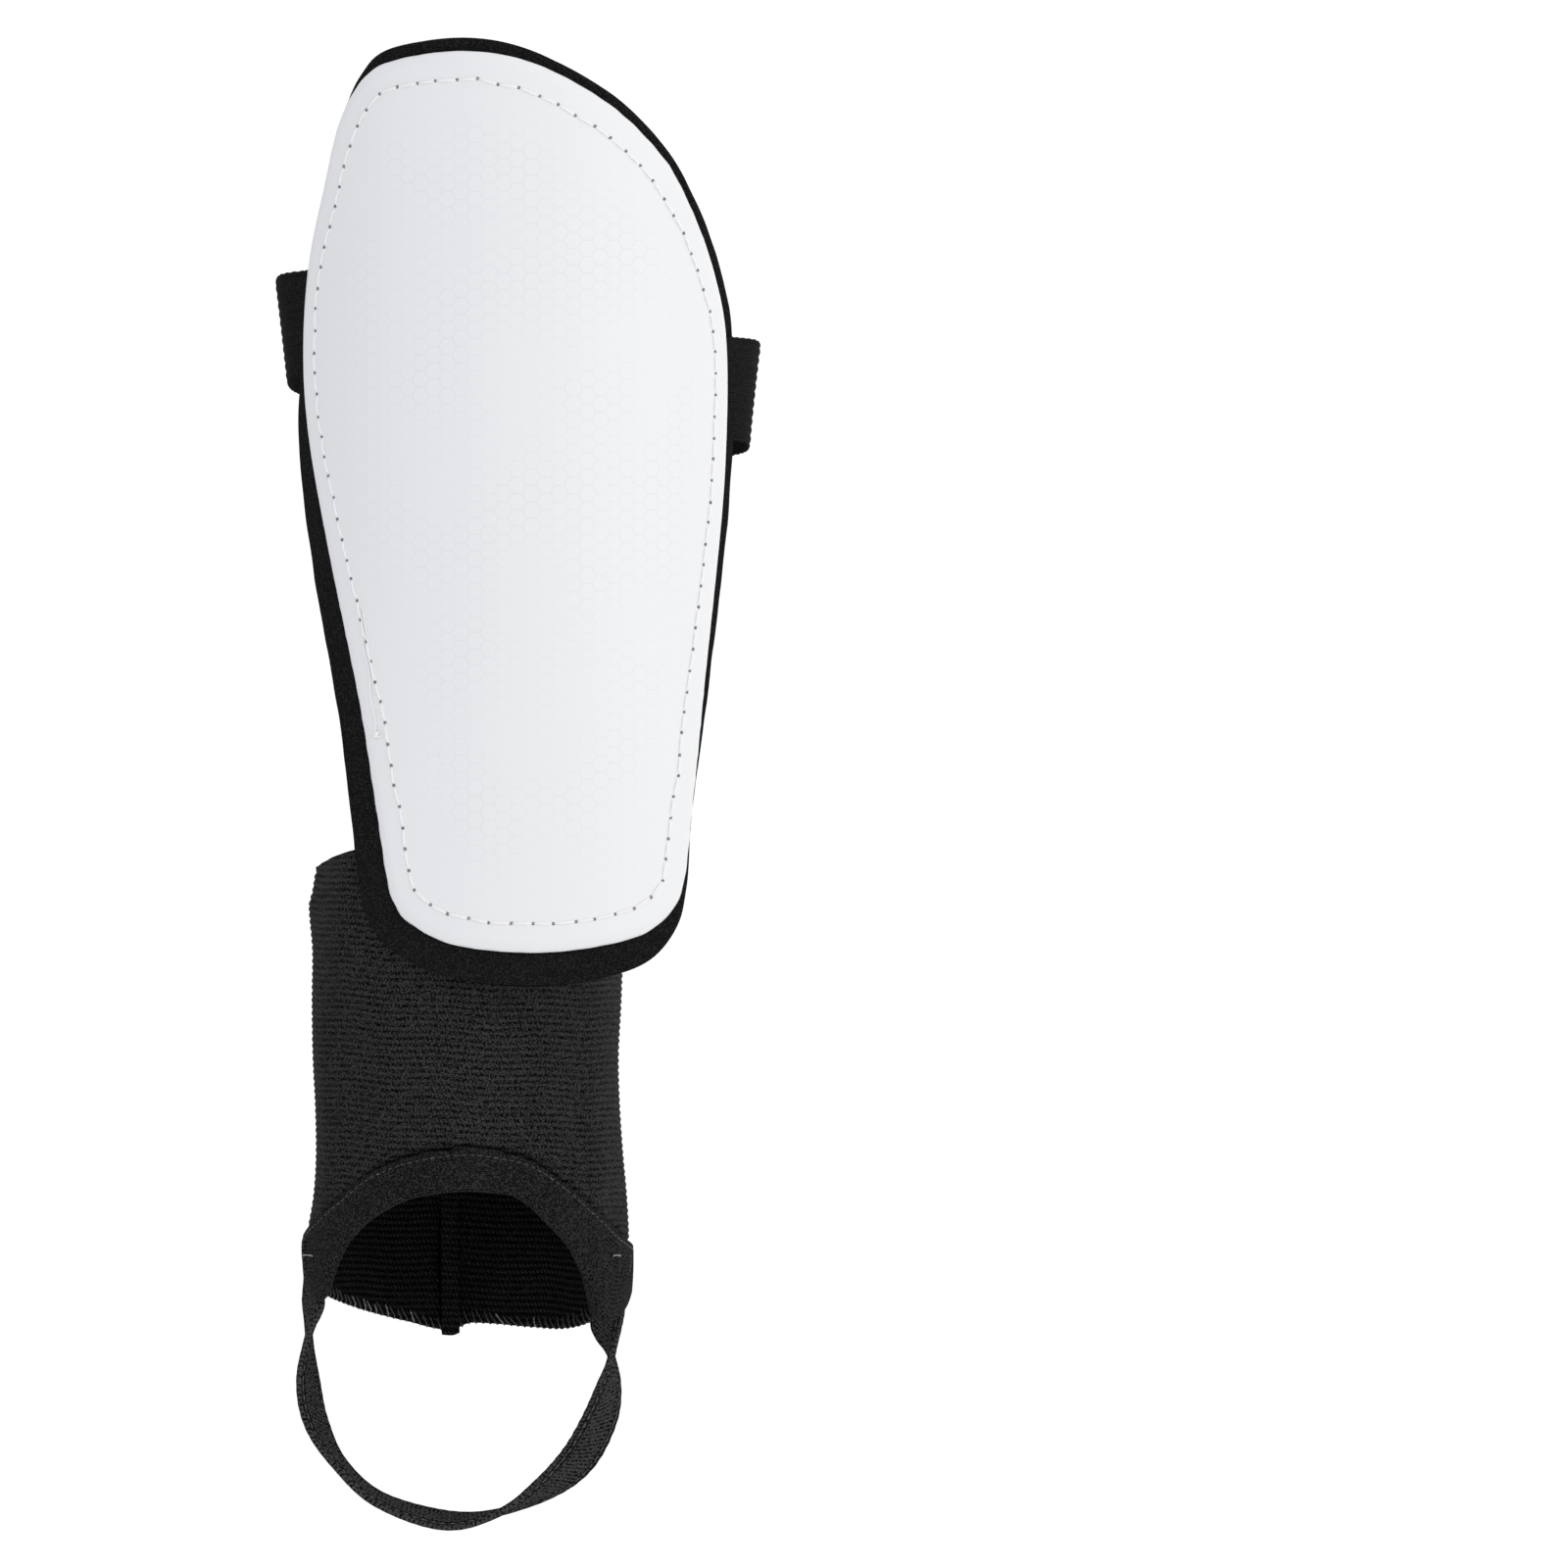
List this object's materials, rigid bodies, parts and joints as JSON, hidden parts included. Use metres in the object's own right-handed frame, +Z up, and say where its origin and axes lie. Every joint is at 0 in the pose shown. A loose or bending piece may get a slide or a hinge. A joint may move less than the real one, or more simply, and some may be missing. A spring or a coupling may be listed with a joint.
{
  "type": "shin guard",
  "caption": "Hard-shell soccer shin guard with padded backing, calf strap, elastic ankle sleeve and stirrup strap.",
  "frame": {"origin": "middle of the lining's back face, where the guard rests on the shin", "axes": "+Z up the leg from ankle to knee, -Y forwards through the shell, +X to the right as seen from the front"},
  "size_m": [0.1172, 0.1068, 0.3657],
  "materials": {
    "shell": "satin white moulded plastic with a faint printed honeycomb",
    "face_cloth": "matt black brushed knit cloth",
    "foam": "black closed-cell foam, raw cut edge",
    "lining": "black lining cloth",
    "elastic": "black ribbed woven elastic",
    "hook_tape": "black hook tape",
    "loop_tape": "black loop tape",
    "knit": "black coarse elastic knit",
    "binding": "black folded elastic tape",
    "white_thread": "white polyester thread",
    "black_thread": "black polyester thread",
    "grey_thread": "grey textured overlock thread"
  },
  "bodies": {
    "guard": {"hard_shell": "shell", "front_cloth": "face_cloth", "foam_pad": "foam", "lining_cloth": "lining", "rim_needle_thread": "white_thread", "rim_bobbin_thread": "black_thread", "rim_back_tack": "white_thread", "calf_strap_anchor_left": "elastic", "calf_strap_anchor_right": "elastic"},
    "long_strap": {"calf_strap_long": "elastic", "hook_patch": "hook_tape", "hook_patch_stitching": "black_thread"},
    "short_strap": {"calf_strap_short": "elastic", "loop_patch": "loop_tape", "loop_patch_stitching": "black_thread"},
    "sleeve": {"ankle_sleeve": "knit", "sleeve_top_hem": "knit", "sleeve_back_seam": "knit", "sleeve_join_thread": "black_thread", "instep_binding": "binding", "instep_binding_thread": "black_thread", "back_edge_overlock": "grey_thread", "stirrup_fold_left": "binding", "stirrup_fold_right": "binding", "stirrup_bar_tack_left": "grey_thread", "stirrup_bar_tack_right": "grey_thread"},
    "stirrup": {"stirrup_strap": "binding", "stirrup_edge_stitching": "grey_thread"}
  },
  "joints": [
    {"name": "calf_strap_open", "type": "hinge", "parent": "guard", "child": "long_strap", "pos_m": [-0.05681, 0.03225, 0.045], "axis": [0, 0, 1], "range_deg": [0, 100]},
    {"name": "short_strap_open", "type": "hinge", "parent": "guard", "child": "short_strap", "pos_m": [0.05681, 0.03225, 0.0283], "axis": [0, 0, -1], "range_deg": [0, 40]},
    {"name": "sleeve_tip", "type": "hinge", "parent": "guard", "child": "sleeve", "pos_m": [-0.0124, 0.00625, -0.0865], "axis": [1, 0, 0], "range_deg": [0, 45]},
    {"name": "stirrup_swing", "type": "hinge", "parent": "sleeve", "child": "stirrup", "pos_m": [-0.0124, 0.04895, -0.184], "axis": [1, 0, 0], "range_deg": [-45, 45]}
  ],
  "couplings": [
    {"joint": "short_strap_open", "follows": "calf_strap_open", "ratio": 0.4}
  ]
}
